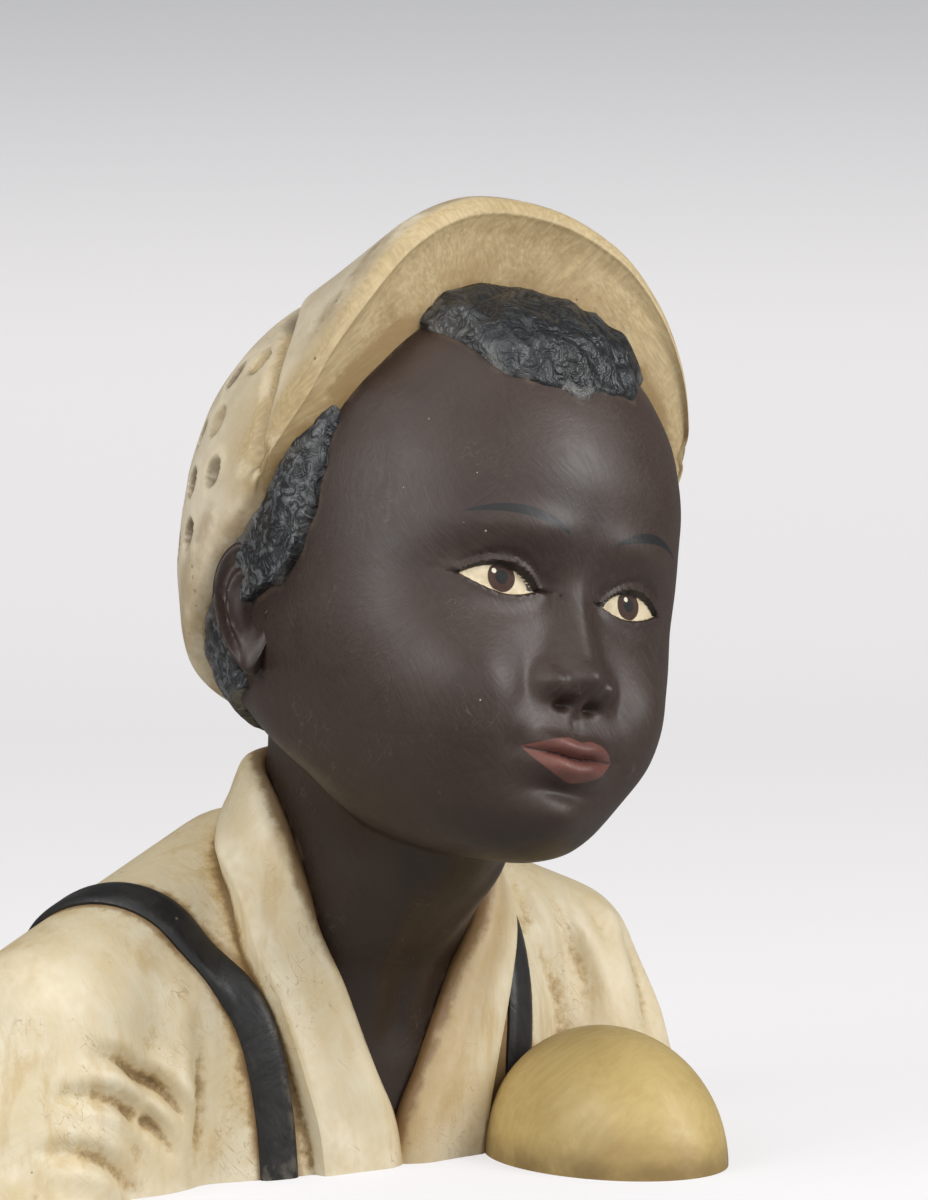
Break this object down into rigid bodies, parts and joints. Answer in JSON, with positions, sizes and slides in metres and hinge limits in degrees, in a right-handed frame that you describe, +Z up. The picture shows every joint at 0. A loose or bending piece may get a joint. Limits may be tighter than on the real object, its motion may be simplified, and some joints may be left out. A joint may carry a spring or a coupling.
{
  "type": "plaster child bust",
  "caption": "Painted plaster bust of a child in a cap with a turned-up peak, open collar, braces and a raised knee, cut flat below.",
  "frame": {"origin": "on the flat underside, under the middle of the bounding box", "axes": "+Z up, -Y the way the child's chest faces, +X towards the child's left side"},
  "size_m": [0.2498, 0.2056, 0.2625],
  "materials": {
    "painted_plaster": "matt oil paint on cast plaster: cream shirt and cap, dark brown skin, black hair and braces, mustard trousers"
  },
  "bodies": {
    "root": {"plaster_bust": "painted_plaster"}
  },
  "joints": []
}
